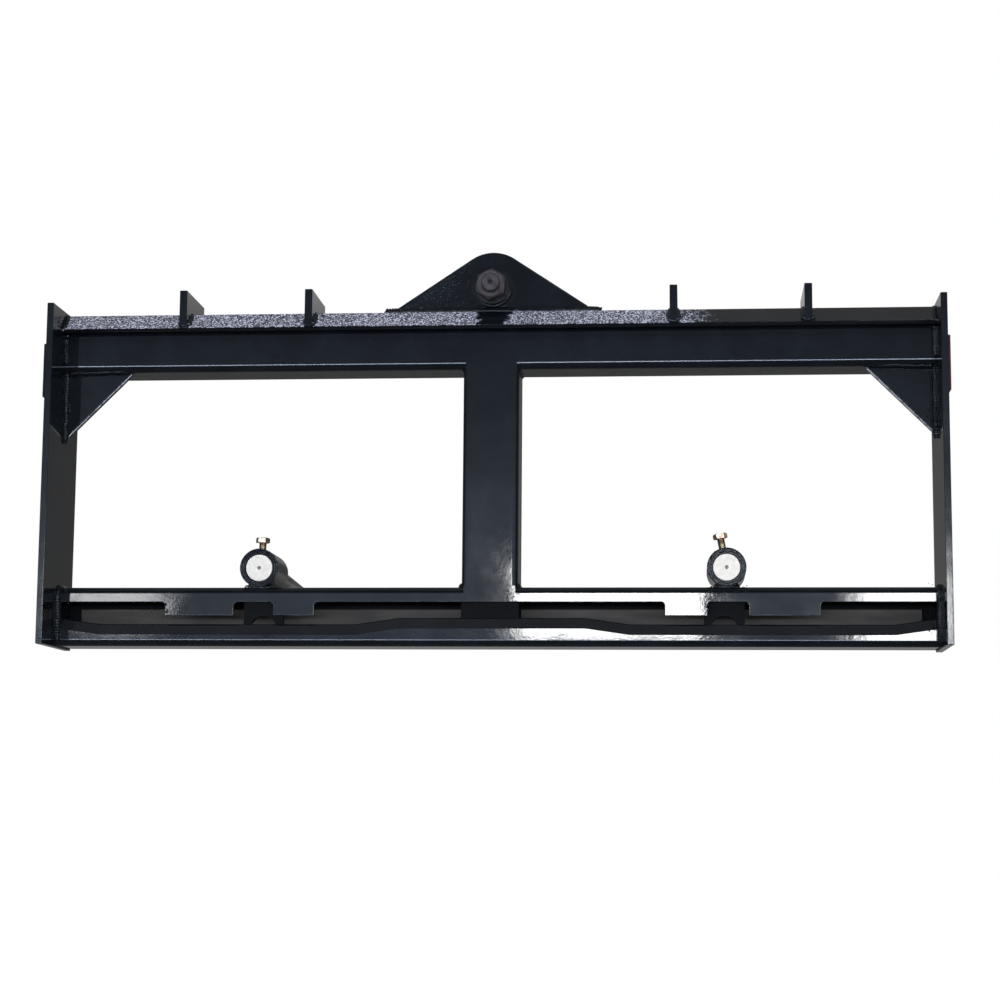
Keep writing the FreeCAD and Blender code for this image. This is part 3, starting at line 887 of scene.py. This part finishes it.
def lugBeads():
    # along both flanks of each lug: down the slope of the bar, and back along the tube
    beads = []
    for name in lugs:
        low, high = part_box(name)
        for x, side in ((low[0], -1), (high[0], 1)):
            beads.append(((x, lipLow[1] - 0.001, low[2] + 0.003), (x, lipHigh[1] - 0.003, lipHigh[2]), 4.6,
                          (side, -1, 1)))
            beads.append(((x, lipHigh[1] + 0.004, tubeHigh[2] + 0.0006),
                          (x, tubeHigh[1] - 0.004, tubeHigh[2] + 0.0006), 4.2, (side, 0, 1)))
        x = (low[0] + high[0]) / 2
        y, z = low[1] + 0.0065, low[2] + 0.0005
        beads.append(((x - 0.005, y, z), (x + 0.005, y, z), 3.6, (0, -1, 0)))
    return beads


def mountBeads():
    return [
        ((mountLow[0] + 0.006, mountLow[1] - 0.0012, lipHigh[2] + 0.0026),
         (mountHigh[0] - 0.006, mountLow[1] - 0.0012, lipHigh[2] + 0.0026), 5.2, (0, -1, 1)),
        ((mountLow[0] + 0.004, mountHigh[1] + 0.001, tubeHigh[2] + 0.001),
         (mountHigh[0] - 0.004, mountHigh[1] + 0.001, tubeHigh[2] + 0.001), 4.6, (0, 1, 1)),
        ((rearLow[0] + 0.004, rearLow[1] - 0.001, tubeHigh[2] + 0.001),
         (rearHigh[0] - 0.004, rearLow[1] - 0.001, tubeHigh[2] + 0.001), 4.6, (0, -1, 1)),
        ((rearLow[0] + 0.004, rearHigh[1] - 0.001, tubeHigh[2] + 0.001),
         (rearHigh[0] - 0.004, rearHigh[1] - 0.001, tubeHigh[2] + 0.001), 3.2, (0, 1, 1)),
    ]


def sleeveBeads(side):
    x = sleeveCentres[side][0]
    z = beamHigh[2] + 0.0012
    beads = []
    for flank in (-1, 1):
        beads.append(((x + flank * 0.0125, 0.006, z), (x + flank * 0.0125, sleeveHigh[1] - 0.008, z), 5.4,
                      (flank, 0, 1)))
    beads.append(((x - 0.013, 0.0045, z - 0.001), (x + 0.013, 0.0045, z - 0.001), 4.6, (0, -1, 0.2)))
    return beads


wholeTurn = (0.0, 360.0)
aboveTube = (-22.0, 202.0)   # the part of a ring that isn't sunk in the rail


def sleeveRings(side):
    # lumpy metal round the mouth of a stabiliser's sleeve: (centre, ring radius, bead radius in mm, arc)
    x, _, z = sleeveCentres[side]
    return [((x, 0.0002, z), 0.0207, 0.9, wholeTurn), ((x, 0.0004, z), 0.0237, 1.2, wholeTurn)]


def mountRings():
    # round the top sleeve, in front of and behind each of its plates
    x, _, z = topAxis
    return [((x, mountLow[1] - 0.0004, z), 0.0262, 3.3, wholeTurn),
            ((x, mountHigh[1] + 0.0004, z), 0.0262, 3.0, aboveTube),
            ((x, rearLow[1] - 0.0004, z), 0.0262, 3.0, aboveTube),
            ((x, rearHigh[1] + 0.0004, z), 0.0262, 3.2, wholeTurn)]


groups = {"postWelds": postBeads(), "lugWelds": lugBeads(), "mountWelds": mountBeads()}
for label, side in (("Left", -1), ("Right", 1)):
    for name, beads in sideBeads(side).items():
        groups[name + label] = beads
    groups["sleeveWelds" + label] = sleeveBeads(side)
rings = {"sleeveWeldsLeft": sleeveRings(-1), "sleeveWeldsRight": sleeveRings(1), "mountWelds": mountRings()}
for name, beads in groups.items():
    made = [layBead(ripple, ripplePitch, *bead, beadValues) for bead in beads]
    made += [layRing(centre, ringRadius, radius, beadValues, arc)
             for centre, ringRadius, radius, arc in rings.get(name, [])]
    welds = joinAll(made, name)
    roughen(welds, beadValues["wanderMm"], beadValues["wanderSizeMm"])
    finishPiece(welds, weldPaint)
bpy.data.objects.remove(ripple)
print("weld beads laid:", len(groups), "pieces")


# the groove of the rounded tube corners, filled and dressed flush where the post meets them
fillValues = {
    "inset": 0.003,      # from the post's sides
    "back": 0.008,
    "half": 0.005,       # half height of the fill
    "offset": 0.0035,    # its middle lies this far past the post's end
    "proud": 0.0001,     # how far it stands off the tubes' faces
}


def layFill(height, values):
    deselectAll()
    low = (postLow[0] + values["inset"], -values["proud"], height - values["half"])
    high = (postHigh[0] - values["inset"], values["back"], height + values["half"])
    bpy.ops.mesh.primitive_cube_add(size=1.0, location=[(a + b) / 2 for a, b in zip(low, high)])
    fill = bpy.context.object
    fill.scale = [b - a for a, b in zip(low, high)]
    bpy.ops.object.transform_apply(location=True, rotation=True, scale=True)
    return fill


fills = [layFill(postHigh[2] + fillValues["offset"], fillValues),
         layFill(postLow[2] - fillValues["offset"], fillValues)]
# hardly rounded at its edges, which would otherwise shine as lines across the joint
fillPaint = makePaint("fillEnamel", dict(paintValues, edgeMm=0.01))
finishPiece(joinAll(fills, "postFills"), fillPaint)
print("post joints filled")


# spatter and slag

spatterValues = {
    "seed": 7,
    # name: (centre, half spread, count, smallest and largest radius in mm)
    "spots": {
        "sleeveLeft": ((-0.3016, -0.0002, -0.146), (0.022, 0.0003, 0.005), 26, (0.5, 1.5)),
        "sleeveRight": ((0.2992, -0.0002, -0.146), (0.026, 0.0003, 0.006), 30, (0.5, 1.5)),
        "lipSplash": ((-0.285, 0.0, -0.205), (0.010, 0.0003, 0.003), 12, (0.6, 1.5)),
        "tabLeftEdge": ((-0.4222, 0.0015, -0.171), (0.0016, 0.002, 0.009), 12, (1.0, 2.1)),
        "notchLeftEdge": ((-0.2832, 0.0015, -0.170), (0.0013, 0.002, 0.009), 12, (0.9, 1.9)),
        "notchRightInner": ((0.2752, 0.0015, -0.168), (0.0013, 0.002, 0.006), 9, (0.9, 1.8)),
        "notchRightOuter": ((0.3256, 0.0015, -0.168), (0.0013, 0.002, 0.008), 9, (0.9, 1.8)),
        "plateAbove": ((0.0, 0.0098, 0.2475), (0.040, 0.0002, 0.036), 46, (0.3, 0.9)),
        "postFoot": ((0.0, -0.0001, -0.143), (0.030, 0.0002, 0.014), 26, (0.3, 0.9)),
        "postHead": ((0.0, -0.0001, 0.145), (0.042, 0.0002, 0.012), 14, (0.3, 0.7)),
        "gussetLeft": ((-0.5566, 0.0088, 0.100), (0.004, 0.0002, 0.032), 14, (0.4, 1.0)),
        "gussetRight": ((0.5566, 0.0088, 0.100), (0.004, 0.0002, 0.032), 22, (0.4, 1.2)),
        "beamCornerLeft": ((-0.5560, 0.0, -0.172), (0.005, 0.0004, 0.034), 26, (0.5, 1.5)),
        "beamCornerRight": ((0.5560, 0.0, -0.172), (0.005, 0.0004, 0.034), 22, (0.5, 1.4)),
    },
}


def scatterSpots(values):
    # beads of metal thrown off while welding, and slag left on the cut edges
    dice = random.Random(values["seed"])
    deselectAll()
    bpy.ops.mesh.primitive_ico_sphere_add(subdivisions=2, radius=1.0, location=(0, 0, 0))
    drop = bpy.context.object
    bpy.ops.object.mode_set(mode="EDIT")
    selectVerts(drop, lambda co: co.z > 0.5)
    bpy.ops.transform.resize(value=(0.85, 0.85, 0.9))
    bpy.ops.object.mode_set(mode="OBJECT")
    for name, (centre, spread, count, (small, large)) in values["spots"].items():
        drops = []
        for _ in range(count):
            copy = drop.copy()
            copy.data = drop.data.copy()
            bpy.context.scene.collection.objects.link(copy)
            radius = small + (large - small) * dice.random() ** 2
            copy.location = [c + s * dice.uniform(-1, 1) for c, s in zip(centre, spread)]
            copy.rotation_euler = [dice.uniform(0, math.pi) for _ in range(3)]
            copy.scale = [radius * mm * dice.uniform(0.75, 1.25) for _ in range(3)]
            drops.append(copy)
        spots = joinAll(drops, "spatter" + name[0].upper() + name[1:])
        finishPiece(spots, weldPaint, smooth=80.0)
    bpy.data.objects.remove(drop)


scatterSpots(spatterValues)
print("spatter scattered:", len(spatterValues["spots"]), "pieces")
